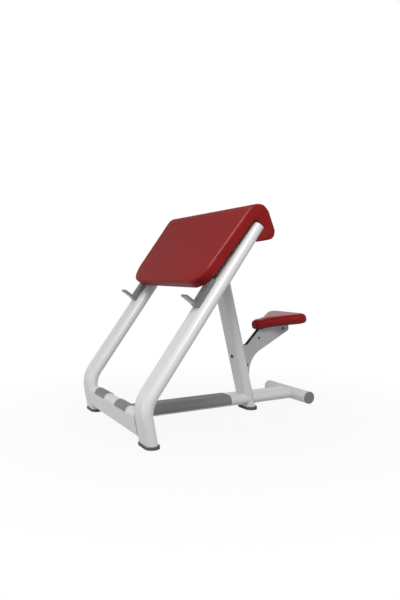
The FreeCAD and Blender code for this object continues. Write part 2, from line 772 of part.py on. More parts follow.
PAD_BOLT_SPOTS = [(side, along) for side in ("leg_half_span", "0 - leg_half_span") for along in PAD_BOLTS]
SEAT_SIDES = ("seat_bolt_half", "0 - seat_bolt_half")
SEAT_BOLT_SPOTS = [(side, along) for side in SEAT_SIDES for along in ("seat_bolt_front", "seat_bolt_rear")]


def raised(frame, off):
    back, height, turn = frame
    return (f"{back} - ({off}) * sin({turn})", f"{height} + ({off}) * cos({turn})", turn)


def make_pad_board():
    body = keep(new_body("arm_pad_board", raised(PAD, "pad_under_height")))
    sketch = new_sketch(body, "XY_Plane", "pad_board_outline")
    pad_board_outline(sketch, "0")
    extrude(body, sketch, "board_thick")
    board_holes(body, "pad_board", PAD_BOLT_SPOTS)


# Seat bracket: two plates with an anchor block and a spacer between them
PLATE_HIGH = "(plate_low + plate_tall)"
POST_BOLT_HEIGHT = "(plate_low + post_bolt_rise)"


# A spot this far behind the post's rear face, or along the seat and this far below it
def behind_post(depth, height):
    return (f"{post_rear_face(height)} + {depth}", height)


def seat_line(along, drop="0"):
    back = f"(seat_front + ({along}) * cos(seat_tilt) + ({drop}) * sin(seat_tilt))"
    return (back, f"(seat_height + ({along}) * sin(seat_tilt) - ({drop}) * cos(seat_tilt))")


LOW_BOLT = behind_post("low_bolt_depth", "(plate_low + low_bolt_rise)")
REAR_BOLT = seat_line("rear_bolt_length", "rear_bolt_drop")
SIGHT_HOLE = seat_line("sight_hole_length", "sight_hole_drop")


def make_seat_plate():
    body = new_body("right_seat_plate", FLOOR, "plate_gap / 2")
    sketch = new_sketch(body, "YZ_Plane", "seat_plate_outline")
    foot = f"{post_rear_face('plate_low')} + plate_foot"
    corners = [(post_rear_face("plate_low"), "plate_low"), (foot, "plate_low")]
    corners += [(*behind_post("plate_knee_depth", "(plate_low + plate_knee_rise)"), "plate_sweep")]
    rear = seat_line("mount_front + mount_long")
    corners += [(f"{rear[0]} + plate_rear_reach", f"{rear[1]} - plate_rear_drop", "plate_round")]
    corners += [rear, seat_line("mount_front")]
    notch = behind_post("plate_notch_depth", PLATE_HIGH)
    corners += [(notch[0], f"{notch[1]} + plate_notch_rise", "plate_round")]
    corners += [behind_post("0", PLATE_HIGH)]
    outline(sketch, corners)
    extrude(body, sketch, "plate_thick")
    holes = new_sketch(body, "YZ_Plane", "seat_plate_holes")
    for back, height in (LOW_BOLT, REAR_BOLT):
        circle(holes, back, height, "bolt_hole / 2")
    circle(holes, *SIGHT_HOLE, "sight_hole / 2")
    circle(holes, f"{SIGHT_HOLE[0]} - pin_pitch", SIGHT_HOLE[1], "pin_hole / 2")
    extrude(body, holes, "plate_thick", "Pocket", back=True)
    both_sides("seat_plate", body)


BLOCK_DEEP = "(low_bolt_depth + bolt_hole / 2 + block_margin)"


def make_anchor_block():
    body = keep(new_body("anchor_block"))
    sketch = new_sketch(body, "YZ_Plane", "anchor_block_outline")
    low, high = "(plate_low + block_low_inset)", f"({PLATE_HIGH} - block_high_inset)"
    near = [behind_post("0", low), behind_post(BLOCK_DEEP, low)]
    outline(sketch, near + [behind_post(BLOCK_DEEP, high), behind_post("0", high)])
    circle(sketch, *LOW_BOLT, "bolt_hole / 2")
    extrude(body, sketch, "plate_gap", both=True)
    bore = new_sketch(body, "XZ_Plane", "anchor_bore")
    circle(bore, "0", POST_BOLT_HEIGHT, "post_bolt_size / 2 + fit_gap")
    extrude(body, bore, "4 * post_back", "Pocket", both=True)


def make_rear_spacer():
    body = keep(new_body("rear_spacer", (*REAR_BOLT, "0")))
    sketch = new_sketch(body, "YZ_Plane", "rear_spacer_section")
    ring(sketch, "0", "0", "spacer_tube / 2", "(spacer_tube - bolt_hole) / 2")
    extrude(body, sketch, "plate_gap", both=True)


# Seat: mount plate, plywood board and cushion
def make_mount_plate():
    body = keep(new_body("seat_mount_plate", SEAT))
    sketch = new_sketch(body, "XY_Plane", "mount_outline")
    low, high, corner = "mount_front", "mount_front + mount_long", "mount_half / 4"
    sides = ("0 - mount_half", "mount_half")
    outline(sketch, [(sides[0], low, corner), (sides[1], low, corner),
                     (sides[1], high, corner), (sides[0], high, corner)])
    for across, along in SEAT_BOLT_SPOTS:
        circle(sketch, across, along, "bolt_hole / 2")
    extrude(body, sketch, "mount_thick")


def seat_outline(sketch, inset):
    nose = (f"seat_nose_half - {inset}", f"{inset} - seat_nose", f"seat_nose_radius - {inset}")
    waist = (f"seat_waist_half - {inset}", "seat_waist", f"seat_waist_radius + {inset}")
    side = (f"seat_side_half - 1.2 * {inset}", "seat_side", f"seat_side_radius - {inset}")
    rear = (f"seat_rear_half - 0.8 * {inset}", f"seat_rear - {inset}", f"seat_rear_radius - {inset}")
    right = [nose, waist, side, rear]
    left = [(f"0 - ({x})", y, radius) for x, y, radius in right[::-1]]
    outline(sketch, right + left)


def make_seat_board():
    body = keep(new_body("seat_board", raised(SEAT, "mount_thick")))
    sketch = new_sketch(body, "XY_Plane", "seat_board_outline")
    seat_outline(sketch, "seat_inset")
    extrude(body, sketch, "board_thick")
    board_holes(body, "seat_board", SEAT_BOLT_SPOTS)


def make_seat_pad():
    body = keep(new_body("seat_pad", raised(SEAT, "mount_thick + seat_lift")))
    sketch = new_sketch(body, "XY_Plane", "seat_pad_outline")
    seat_outline(sketch, "0")
    extrude(body, sketch, "seat_thick")
    top = value("seat_thick") - 0.01
    round_edges(body, "seat_edge", lambda edge: edge.BoundBox.ZMin > top)
    recess = new_sketch(body, "XY_Plane", "seat_recess")
    seat_outline(recess, "(seat_inset - fit_gap)")
    extrude(body, recess, "board_thick - seat_lift", "Pocket", back=True)


# Fasteners: turned solids with a hexagon socket, repeated at their spots
def turned(points):
    face = Part.Face(Part.makePolygon([FreeCAD.Vector(r, 0, z) for r, z in points + points[:1]]))
    return face.revolve(FreeCAD.Vector(), FreeCAD.Vector(0, 0, 1), 360)


# Head below z = 0, shank above it
def button_bolt(size, length, wide, high):
    profile = [(0, -high), (wide * 0.28, -high), (wide * 0.44, -high * 0.6), (wide / 2, -high * 0.1)]
    profile += [(wide / 2, 0), (size / 2, 0), (size / 2, length), (0, length)]
    socket_wide = size * 0.33
    turns = [math.radians(60 * i) for i in range(7)]
    ring_points = [FreeCAD.Vector(socket_wide * math.cos(t), socket_wide * math.sin(t), -high) for t in turns]
    socket = Part.Face(Part.makePolygon(ring_points)).extrude(FreeCAD.Vector(0, 0, high * 0.6))
    return turned(profile).cut(socket)


def tee_nut():
    barrel, flange = value("nut_barrel / 2"), value("nut_flange / 2")
    bore, long = value("bolt_hole / 2"), value("board_thick")
    seat = long - value("nut_flange_thick")
    return turned([(bore, 0), (barrel, 0), (barrel, seat), (flange, seat), (flange, long), (bore, long)])


def fasteners(label, solid, spots):
    item = doc.addObject("Part::Feature", label)
    item.Label = label
    copies = []
    for spot in spots:
        copy = solid.copy()
        copy.Placement = spot
        copies.append(copy)
    item.Shape = Part.makeCompound(copies) if len(copies) > 1 else copies[0]
    return keep(item)


def at(frame, across, along, off, direction=(0, 0, 1)):
    spot = FreeCAD.Vector(value(across), value(along), value(off))
    turn = FreeCAD.Rotation(FreeCAD.Vector(0, 0, 1), FreeCAD.Vector(*direction))
    return frame_placement(frame).multiply(FreeCAD.Placement(spot, turn))


# The leg's axis, seen from the pad, drifts off with the distance along it
def leg_drift(along):
    return f"(({along}) * tan{SPLAY})"


def pad_spots(off, follow_leg=False):
    spots = []
    for across, along in PAD_BOLT_SPOTS:
        height = f"{off} + {leg_drift(along)}" if follow_leg else off
        spots.append(at(PAD, across, along, height))
    return spots


# Saddle spacers between the legs and the board, round the arm pad bolts
def make_pad_spacers(leg_fit, other_fit):
    bore, outer = value("bolt_hole / 2"), value("pad_spacer / 2")
    tall = value("pad_under_height")
    blanks = doc.addObject("Part::Feature", "pad_spacer_blanks")
    solid = turned([(bore, tall / 2), (outer, tall / 2), (outer, tall), (bore, tall)])
    copies = []
    for spot in pad_spots("0"):
        copy = solid.copy()
        copy.Placement = spot
        copies.append(copy)
    blanks.Shape = Part.makeCompound(copies)
    keep(cut("pad_spacers", blanks, leg_fit, other_fit))


def make_fasteners():
    size, wide, high = value("bolt_size"), value("head_wide"), value("head_high")
    inside = "oval_thick / 2 - oval_wall - fit_gap"
    reach = "pad_under_height + board_thick - nut_flange_thick"
    grip = value(f"{reach} - ({inside}) - {leg_drift(PAD_BOLTS[1])}")
    fasteners("arm_pad_bolts", button_bolt(size, grip, wide, high), pad_spots(inside, True))
    fasteners("arm_pad_tee_nuts", tee_nut(), pad_spots("pad_under_height"))
    plug = Part.makeCylinder(value("access_hole / 2 - fit_gap"), value("2 * oval_wall"))
    fasteners("leg_plugs", plug, pad_spots("0 - oval_thick / 2", True))
    bite = value(f"{RAIL_TOP} - hook_screw_sink - oval_thick / 2 + 2 * oval_wall")
    screw = button_bolt(value("hook_screw_size"), bite,
                        value("hook_screw_head"), value("hook_screw_sink - fit_gap"))
    sides = ("leg_half_span", "0 - leg_half_span")
    sunk = f"{RAIL_TOP} - hook_screw_sink"
    spots = [at(UPPER_LEG, side, along, sunk, (0, 0, -1)) for side in sides for along in HOOK_SCREWS]
    fasteners("hook_screws", screw, spots)
    seat_grip = value("mount_thick + board_thick - nut_flange_thick")
    seat_spots = [at(SEAT, across, along, "0") for across, along in SEAT_BOLT_SPOTS]
    fasteners("seat_bolts", button_bolt(size, seat_grip, wide, high), seat_spots)
    seat_nuts = [at(SEAT, across, along, "mount_thick") for across, along in SEAT_BOLT_SPOTS]
    fasteners("seat_tee_nuts", tee_nut(), seat_nuts)
    make_joint_screws(size, wide, high)
    make_bracket_bolts(size, wide, high)


def make_joint_screws(size, wide, high):
    length = value("oval_wall + spigot_wall + fit_gap + 2")
    spots = []
    for side in ("", "0 - "):
        for rise in SCREW_RISES:
            place = (f"{side}({SCREW_ACROSS})", "oval_thick / 2", f"crossbar_rise + {rise}")
            spots.append(at(LOWER_LEG, *place, (0, -1, 0)))
    for across in SCREW_RISES:
        spots.append(at(FLOOR, across, TAIL_SCREW, "beam_height - oval_thick / 2"))
    fasteners("joint_screws", button_bolt(size, length, wide, high), spots)


def make_bracket_bolts(size, wide, high):
    outer = "plate_gap / 2 + plate_thick"
    grip = value(f"2 * ({outer}) + bolt_size")
    spots = [at(FLOOR, outer, *where, (-1, 0, 0)) for where in (LOW_BOLT, REAR_BOLT)]
    fasteners("bracket_bolts", button_bolt(size, grip, wide, high), spots)
    nut = turned([(value("bolt_size / 2 + fit_gap"), 0), (wide / 2, 0), (wide / 2, size * 0.8),
                  (value("bolt_size / 2 + fit_gap"), size * 0.8)])
    nut_spots = [at(FLOOR, f"0 - ({outer})", *where, (-1, 0, 0)) for where in (LOW_BOLT, REAR_BOLT)]
    fasteners("bracket_nuts", nut, nut_spots)
    plug = Part.makeCylinder(value("sight_hole / 2 - fit_gap"), value("plate_thick * 0.8"))
    plug_spots = [at(FLOOR, "plate_gap / 2", *SIGHT_HOLE, (1, 0, 0))]
    plug_spots += [at(FLOOR, "0 - plate_gap / 2", *SIGHT_HOLE, (-1, 0, 0))]
    fasteners("plate_plugs", plug, plug_spots)
    front = f"post_back - {POST_BOLT_HEIGHT} * tan(post_lean) - {POST_DEEP} / 2"
    head = value("post_head_wide")
    lean = head / 2 * math.tan(math.radians(value("post_lean")))
    reach = value(f"{POST_DEEP} + {BLOCK_DEEP}") + lean
    spot = at(FLOOR, "0", f"{front} - {lean}", POST_BOLT_HEIGHT, (0, 1, 0))
    fasteners("post_bolt", button_bolt(value("post_bolt_size"), reach, head, high), [spot])


def make_everything():
    leg_seam = lower_leg_envelope("leg_seam_envelope", "seam")
    leg_spigot_fit = lower_leg_envelope("leg_spigot_envelope", "2 * fit_gap")
    leg_pocket = lower_leg_envelope("leg_pocket_envelope", "fit_gap")
    leg_fit = upper_leg_envelope("upper_leg_envelope", "fit_gap")
    other_fit = mirrored("left_upper_leg_envelope", leg_fit)
    leg_room = upper_leg_envelope("leg_room_envelope", "pad_clear")
    cross_room = cross_tube_solid("cross_room_envelope", "pad_clear")
    crossbar_solid = crossbar_envelope()
    post_fit = post_solid("post_envelope", "fit_gap")
    post_seam = post_solid("post_seam_envelope", "seam")
    make_leg()
    make_leg_cap()
    make_leg_foot(leg_pocket)
    make_crossbar(leg_seam)
    make_crossbar_spigot(leg_spigot_fit)
    make_crossbar_guard()
    make_base_beam(crossbar_solid, post_fit)
    make_beam_cover()
    make_tail(post_seam, post_fit)
    make_tail_tube()
    make_tail_cap()
    make_post()
    make_rear_foot(post_fit)
    make_post_cap()
    make_upper_cross_tube(leg_fit, other_fit)
    make_bar_hook()
    make_arm_pad(leg_room, cross_room)
    make_pad_board()
    make_seat_plate()
    make_anchor_block()
    make_rear_spacer()
    make_mount_plate()
    make_seat_board()
    make_seat_pad()
    make_pad_spacers(leg_fit, other_fit)
    make_fasteners()
    doc.recompute()


def export_nodes():
    for item in doc.Objects:
        if "Invalid" in item.State or "Error" in item.State:
            raise RuntimeError(f"{item.Label} did not build")
    for item in nodes:
        if item.Shape.isNull() or not item.Shape.isValid():
            raise RuntimeError(f"{item.Label} has no valid shape")
    os.makedirs("parts", exist_ok=True)
    for item in nodes:
        item.Shape.exportStep(f"parts/{item.Label}.step")


make_everything()
export_nodes()
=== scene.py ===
import math

import bmesh
import bpy
import numpy as np
from bpy.props import FloatProperty, FloatVectorProperty, IntProperty, PointerProperty
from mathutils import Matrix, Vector


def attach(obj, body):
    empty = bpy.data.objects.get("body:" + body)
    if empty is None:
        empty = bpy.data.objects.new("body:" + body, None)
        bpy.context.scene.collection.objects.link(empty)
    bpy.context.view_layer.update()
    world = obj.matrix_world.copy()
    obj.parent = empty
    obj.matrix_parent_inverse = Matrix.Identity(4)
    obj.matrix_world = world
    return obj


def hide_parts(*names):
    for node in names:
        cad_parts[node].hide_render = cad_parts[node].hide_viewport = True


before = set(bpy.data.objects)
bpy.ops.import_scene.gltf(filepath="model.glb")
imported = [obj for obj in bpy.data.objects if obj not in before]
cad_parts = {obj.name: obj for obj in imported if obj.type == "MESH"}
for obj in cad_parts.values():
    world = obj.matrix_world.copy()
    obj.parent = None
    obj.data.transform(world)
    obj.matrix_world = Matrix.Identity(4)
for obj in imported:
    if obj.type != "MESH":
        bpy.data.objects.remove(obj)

bl_info = {
    "name": "Preacher curl bench",
    "version": (1, 0, 0),
    "blender": (4, 5, 0),
    "location": "3D View > Sidebar > Bench",
    "description": "Upholstery, finishes and studio for a preacher curl bench on its CAD frame",
    "category": "Object",
}

MM = 0.001

# Places that the bench's source gives, in metres and degrees
PAD_SLOPE = 52.7
LEG_SLOPE = 53.9
SEAT_TILT = 10.0
KNEE = np.array([0.0, -0.4832, 0.160])
LEG_HALF_SPAN = 0.330
LEG_EDGE = 0.030
LEG_HALF_THICK = 0.025
PLATE_INSIDE = 0.0102

# The photo's view: image height in pixels, focal length in pixels, and where the camera stands
IMAGE_HEIGHT = 600
FOCAL_PIXELS = 556.5
CAMERA_SPOT = (2.2814, -1.2987, 0.6743)
CAMERA_AZIMUTH = 61.296
CAMERA_ELEVATION = 2.943

# Points of a CAD mesh that are closer than this are one point
WELD_DISTANCE = 0.01 * MM

# How close to the legs and the cross tube a cushion is held, and over what distance it comes free
HELD_SKIN = 4 * MM
HELD_FADE = 20 * MM

# How far round, under and above its board a cushion is held
BOARD_MARGIN = 6 * MM
BOARD_UNDER = 8 * MM
BOARD_FADE = 15 * MM

# Steps of the blown cloth, its solver quality, the steps of its held weights and the smoothing of its rise
BLOW_FRAMES = 20
CLOTH_QUALITY = 4
HELD_STEP = 0.25
RISE_ROUNDS = 12

# Each lamp's place and side in metres; one that names pieces only draws highlights on these
LAMPS = {
    "key": ((2.2, -1.2, 2.5), 1.6, ()),
    "fill": ((-0.5, -2.6, 0.3), 1.6, ()),
    "shine": ((0.8, -1.8, 2.8), 0.9, ("arm_cushion", "seat_cushion")),
    "sheen": ((-2.05, 1.55, 1.05), 1.4, ("seat_cushion",)),
}
LAMP_TARGET = (0, 0, 0.5)

# Between these heights of a ray's direction the room gets dimmer for reflections
DIM_LOW = 0.2
DIM_HIGH = 0.42

# The floor's white share near the bench, and the distances over which it becomes whole
FLOOR_NEAR_SHARE = 0.93
FLOOR_FADE_START = 0.4
FLOOR_FADE_END = 1.4

# Painted shade: dark colour of the seat plates' inner faces, standing in for the shadow in the gap between
# them
GAP_SHADE_COLOUR = "#2B2B2C"

# Which nodes get each finish
FINISH_NODES = {
    "white_coat": (
        "left_leg_tube", "right_leg_tube", "left_leg_cap", "right_leg_cap", "front_crossbar",
        "base_beam", "rear_post", "post_cap", "tail_beam", "tail_tube", "upper_cross_tube",
    ),
    "grey_coat": ("left_seat_plate", "right_seat_plate", "seat_mount_plate"),
    "dark_coat": ("left_bar_hook", "right_bar_hook"),
    # Painted shade: the hidden inserts are coated black so the seams and the gap between the seat plates look
    # shadowed
    "black_seam_shade": (
        "left_crossbar_spigot", "right_crossbar_spigot", "tail_spigot", "anchor_block", "rear_spacer",
    ),
    "dark_plastic": (
        "left_crossbar_guard", "right_crossbar_guard", "beam_cover", "left_tail_cap",
        "right_tail_cap",
    ),
    "black_nylon": ("leg_plugs", "plate_plugs"),
    "black_rubber": ("left_leg_foot", "right_leg_foot", "rear_foot", "pad_spacers"),
    "plywood": ("arm_pad_board", "seat_board"),
    "steel": (
        "arm_pad_bolts", "arm_pad_tee_nuts", "seat_bolts", "seat_tee_nuts", "joint_screws",
        "hook_screws",
    ),
    "black_steel": ("post_bolt", "bracket_bolts", "bracket_nuts"),
}


# Colours and nodes
def linear(text):
    """Turns an sRGB hex value into linear red, green and blue."""
    parts = np.array([int(text[i:i + 2], 16) for i in (1, 3, 5)]) / 255
    curve = np.where(parts <= 0.04045, parts / 12.92, ((parts + 0.055) / 1.055) ** 2.4)
    return tuple(float(part) for part in curve)


def node(tree, kind, inputs=None, **settings):
    """Adds one node; inputs gives each socket a value or another node's output."""
    made = tree.nodes.new(kind)
    for name, setting in settings.items():
        setattr(made, name, setting)
    for socket, given in (inputs or {}).items():
        if isinstance(given, bpy.types.NodeSocket):
            tree.links.new(given, made.inputs[socket])
        else:
            made.inputs[socket].default_value = given
    return made


def new_material(name, constants):
    """Starts a material: constants are set on the shader's own sockets."""
    material = bpy.data.materials.new(name)
    material.use_nodes = True
    tree = material.node_tree
    shader = tree.nodes["Principled BSDF"]
    for socket, given in constants.items():
        shader.inputs[socket].default_value = given
    place = node(tree, "ShaderNodeTexCoord").outputs["Object"]
    return material, tree, shader, place


def per_mm(size):
    """Texture scale, in repeats a metre, of a pattern whose features are this many millimetres wide."""
    return 1.0 / (size * MM)


def two_tone(tree, shader, factor, colour, share):
    """Lets the base colour drift between the colour and a darker share of it."""
    dark = [part * share for part in colour]
    mixed = node(tree, "ShaderNodeMix", {0: factor, 6: (*colour, 1), 7: (*dark, 1)}, data_type="RGBA")
    tree.links.new(mixed.outputs[2], shader.inputs["Base Color"])


def vary_roughness(tree, shader, factor, low, high):
    """Lets the roughness drift between two values."""
    span = {"Value": factor, "To Min": low, "To Max": high}
    ranged = node(tree, "ShaderNodeMapRange", span)
    tree.links.new(ranged.outputs["Result"], shader.inputs["Roughness"])


def raise_surface(tree, shader, height, strength, depth_mm):
    """Drives the shader's normal from a height pattern of a depth in millimetres."""
    bump = node(tree, "ShaderNodeBump", {"Height": height, "Strength": strength, "Distance": depth_mm * MM})
    tree.links.new(bump.outputs["Normal"], shader.inputs["Normal"])


# Powder coat, sprayed and baked on steel: an even colour with a soft gloss. Its orange peel is about
# 2 mm wide; it is drawn at 10 mm, because the true one is too fine to show.
def powder_coat(name, colour, low, high, shade_reach=0.0):
    """Up to a distance shade_reach from the bench's middle plane, the base colour is a painted shade, so the
    plates' inner faces look shadowed in the gap between them.
    """
    material, tree, shader, place = new_material(name, {"Coat Weight": 0.5, "Coat Roughness": 0.2})
    drift = node(tree, "ShaderNodeTexNoise", {"Vector": place, "Scale": per_mm(160), "Detail": 3.0})
    peel = node(tree, "ShaderNodeTexNoise", {"Vector": place, "Scale": per_mm(10), "Detail": 0.0})
    two_tone(tree, shader, drift.outputs["Fac"], colour, 0.965)
    vary_roughness(tree, shader, drift.outputs["Fac"], low, high)
    raise_surface(tree, shader, peel.outputs["Fac"], 0.05, 0.03)
    # Painted shade on the inner faces, in place of the coat colour
    if shade_reach:
        side = node(tree, "ShaderNodeSeparateXYZ", {0: place}).outputs["X"]
        off = node(tree, "ShaderNodeMath", {0: side}, operation="ABSOLUTE").outputs["Value"]
        in_gap = node(tree, "ShaderNodeMath", {0: off, 1: shade_reach}, operation="LESS_THAN").outputs["Value"]
        coat = shader.inputs["Base Color"].links[0].from_socket
        gap_shade = (*linear(GAP_SHADE_COLOUR), 1)
        mixed = node(tree, "ShaderNodeMix", {0: in_gap, 6: coat, 7: gap_shade}, data_type="RGBA")
        tree.links.new(mixed.outputs[2], shader.inputs["Base Color"])
    return material


# Leatherette, vinyl embossed with a pebble grain: a satin red whose creases hold less light. The grain
# is about 1.2 mm wide; it is drawn at 3 mm to show.
def leatherette(name, colour):
    material, tree, shader, place = new_material(name, {"Specular IOR Level": 0.09})
    pebble = node(tree, "ShaderNodeTexVoronoi", {"Vector": place, "Scale": per_mm(3)}, feature="SMOOTH_F1")
    crease = node(tree, "ShaderNodeTexNoise", {"Vector": place, "Scale": per_mm(14), "Detail": 5.0})
    drift = node(tree, "ShaderNodeTexNoise", {"Vector": place, "Scale": per_mm(90), "Detail": 4.0})
    heights = {0: pebble.outputs["Distance"], 1: crease.outputs["Fac"]}
    both = node(tree, "ShaderNodeMath", heights, operation="ADD")
    two_tone(tree, shader, drift.outputs["Fac"], colour, 0.9)
    vary_roughness(tree, shader, crease.outputs["Fac"], 0.38, 0.52)
    raise_surface(tree, shader, both.outputs["Value"], 0.35, 0.35)
    return material


# Moulded polypropylene or nylon with a spark-eroded grain: dull, with a fine sparkle. The grain is
# about 0.5 mm wide; it is drawn at 2.5 mm to show.
def moulded_plastic(name, colour):
    material, tree, shader, place = new_material(name, {"IOR": 1.49})
    grain = node(tree, "ShaderNodeTexNoise", {"Vector": place, "Scale": per_mm(2.5), "Detail": 3.0})
    drift = node(tree, "ShaderNodeTexNoise", {"Vector": place, "Scale": per_mm(70), "Detail": 2.0})
    two_tone(tree, shader, drift.outputs["Fac"], colour, 0.9)
    vary_roughness(tree, shader, grain.outputs["Fac"], 0.42, 0.58)
    raise_surface(tree, shader, grain.outputs["Fac"], 0.3, 0.2)
    return material


# Moulded rubber: matt dark grey, with a bloom of dust in patches about 12 mm wide
def moulded_rubber(name, colour):
    material, tree, shader, place = new_material(name, {"IOR": 1.52})
    bloom = node(tree, "ShaderNodeTexNoise", {"Vector": place, "Scale": per_mm(12), "Detail": 5.0})
    two_tone(tree, shader, bloom.outputs["Fac"], colour, 0.7)
    vary_roughness(tree, shader, bloom.outputs["Fac"], 0.65, 0.85)
    raise_surface(tree, shader, bloom.outputs["Fac"], 0.2, 0.2)
    return material


# Birch plywood, rotary cut: a long faint figure about 14 mm wide, and fibre lines about
# 0.5 mm wide, which are drawn at 2 mm to show. Its dark colour is painted shade, standing in for
# the shadow under the cushions where the boards' edges show
def birch_ply(name, colour):
    material, tree, shader, place = new_material(name, {"IOR": 1.5})
    stretch = node(tree, "ShaderNodeMapping", {"Vector": place, "Scale": (0.12, 1.0, 1.0)})
    along = stretch.outputs[0]
    figure = node(tree, "ShaderNodeTexNoise", {"Vector": along, "Scale": per_mm(14), "Detail": 4.0})
    fibre = node(tree, "ShaderNodeTexNoise", {"Vector": along, "Scale": per_mm(2), "Detail": 2.0})
    two_tone(tree, shader, figure.outputs["Fac"], colour, 0.62)
    vary_roughness(tree, shader, fibre.outputs["Fac"], 0.55, 0.75)
    raise_surface(tree, shader, fibre.outputs["Fac"], 0.3, 0.2)
    return material


# Steel, zinc plated or blackened in an oxide bath: a grey metal with a cloudy skin in patches about
# 6 mm wide
def plated_steel(name, colour):
    material, tree, shader, place = new_material(name, {"Metallic": 1.0})
    cloud = node(tree, "ShaderNodeTexNoise", {"Vector": place, "Scale": per_mm(6), "Detail": 4.0})
    two_tone(tree, shader, cloud.outputs["Fac"], colour, 0.8)
    vary_roughness(tree, shader, cloud.outputs["Fac"], 0.28, 0.42)
    return material


# Mesh helpers
def turn_about_x(degrees):
    """Matrix that turns row points about X by an angle."""
    c, s = math.cos(math.radians(degrees)), math.sin(math.radians(degrees))
    return np.array([[1, 0, 0], [0, c, s], [0, -s, c]])


def read_points(mesh):
    points = np.empty(len(mesh.vertices) * 3)
    mesh.vertices.foreach_get("co", points)
    return points.reshape(-1, 3)


def write_points(mesh, points):
    mesh.vertices.foreach_set("co", np.ascontiguousarray(points, np.float32).ravel())
    mesh.update()


def read_normals(mesh):
    normals = np.empty(len(mesh.vertices) * 3, np.float32)
    mesh.vertices.foreach_get("normal", normals)
    return normals.reshape(-1, 3).astype(float)


def read_edges(mesh):
    edges = np.empty(len(mesh.edges) * 2, np.int32)
    mesh.edges.foreach_get("vertices", edges)
    return edges.reshape(-1, 2)


def relax(points, edges, rounds):
    """Moves each point half way to the mean of its neighbours, so that sharp edges become round."""
    count = np.bincount(edges.ravel(), minlength=len(points))[:, None]
    for _ in range(rounds):
        total = np.zeros_like(points)
        np.add.at(total, edges[:, 0], points[edges[:, 1]])
        np.add.at(total, edges[:, 1], points[edges[:, 0]])
        points = (points + total / count) / 2
    return points


def show(name, mesh):
    piece = bpy.data.objects.new(name, mesh)
    bpy.context.scene.collection.objects.link(piece)
    return piece


def smooth_faces(mesh):
    mesh.polygons.foreach_set("use_smooth", np.ones(len(mesh.polygons), bool))


# Cushions
def cushion_blank(name, source, slope, mesh_size, rounds):
    """Copy of a CAD cushion, turned level, remeshed in even squares and with its edges relaxed."""
    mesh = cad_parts[source].data.copy()
    mesh.materials.clear()
    write_points(mesh, read_points(mesh) @ turn_about_x(-slope))
    welded = bmesh.new()
    welded.from_mesh(mesh)
    bmesh.ops.remove_doubles(welded, verts=welded.verts, dist=WELD_DISTANCE)
    welded.to_mesh(mesh)
    welded.free()
    piece = show(name, mesh)
    remesh = piece.modifiers.new("even_squares", "REMESH")
    remesh.mode = "VOXEL"
    remesh.voxel_size = mesh_size
    graph = bpy.context.evaluated_depsgraph_get()
    even = bpy.data.meshes.new_from_object(piece.evaluated_get(graph))
    piece.modifiers.clear()
    piece.data = even
    even.name = name
    write_points(even, relax(read_points(even), read_edges(even), rounds))
    smooth_faces(even)
    return piece


def swell(piece, sizes, cap, free):
    """Blows the cushion up as cloth from a slightly smaller shape.

    A point's outward rise r is drawn back to cap * tanh(r / cap), and free, from 0 to 1, says how far it
    may follow. The wadding under the cover adds its thickness t as t * min(1, 1 + n), where n is the
    normal's Z, so that it ends at the underside.
    """
    mesh = piece.data
    normals = read_normals(mesh)
    free = free[:, None]
    rest = read_points(mesh) - normals * sizes.shrink * free
    wadding = sizes.wadding * np.clip(1 + normals[:, 2:], 0, 1)
    write_points(mesh, rest)
    held = piece.vertex_groups.new(name="held")
    for level in np.arange(HELD_STEP, 1 + HELD_STEP, HELD_STEP).tolist():
        picked = np.flatnonzero((1 - free > level - HELD_STEP) & (1 - free <= level))
        held.add(picked.tolist(), level, "REPLACE")
    cloth = piece.modifiers.new("foam", "CLOTH")
    settings = cloth.settings
    settings.use_pressure = True
    settings.uniform_pressure_force = sizes.pressure
    settings.vertex_group_mass = "held"
    settings.effector_weights.gravity = 0
    settings.quality = CLOTH_QUALITY
    cloth.point_cache.frame_start = 1
    cloth.point_cache.frame_end = BLOW_FRAMES
    scene = bpy.context.scene
    for step in range(1, BLOW_FRAMES + 1):
        scene.frame_set(step)
    graph = bpy.context.evaluated_depsgraph_get()
    blown = read_points(piece.evaluated_get(graph).data)
    piece.modifiers.clear()
    piece.vertex_groups.clear()
    scene.frame_set(1)
    rise = np.clip(np.sum((blown - rest) * normals, axis=1, keepdims=True), 0, None)
    rise = relax(rise, read_edges(mesh), RISE_ROUNDS)
    write_points(mesh, rest + normals * (wadding + cap * np.tanh(rise / cap)) * free)


def settle(piece, slope, node_name, material):
    """Turns the cushion back to its slope and lets it stand for its CAD node."""
    write_points(piece.data, read_points(piece.data) @ turn_about_x(slope))
    piece.data.materials.append(material)
    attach(piece, "root")
    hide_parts(node_name)


def away_from_legs(points, slope):
    """Rises from 0 near the flat-oval legs' skin to 1 away from it; points are in the frame turned by slope.

    The skin lies LEG_HALF_THICK from a strip that runs along the leg's axis, LEG_EDGE wide to each side.
    """
    knee = KNEE @ turn_about_x(-slope)
    lean = math.radians(LEG_SLOPE - slope)
    axis = np.array([0, math.cos(lean), math.sin(lean)])
    offset = points - knee
    offset[:, 0] = np.abs(points[:, 0]) - LEG_HALF_SPAN
    across = offset - np.outer(offset @ axis, axis)
    across[:, 0] -= np.clip(across[:, 0], -LEG_EDGE, LEG_EDGE)
    return np.clip((np.linalg.norm(across, axis=1) - LEG_HALF_THICK - HELD_SKIN) / HELD_FADE, 0, 1)


def away_from_cross_tube(points, slope):
    """Rises from 0 near the round upper cross tube's skin to 1 away from it; points are turned by slope."""
    tube = read_points(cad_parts["upper_cross_tube"].data) @ turn_about_x(-slope)
    low, high = tube.min(0)[1:], tube.max(0)[1:]
    apart = np.linalg.norm(points[:, 1:] - (low + high) / 2, axis=1)
    return np.clip((apart - (high - low).mean() / 2 - HELD_SKIN) / HELD_FADE, 0, 1)


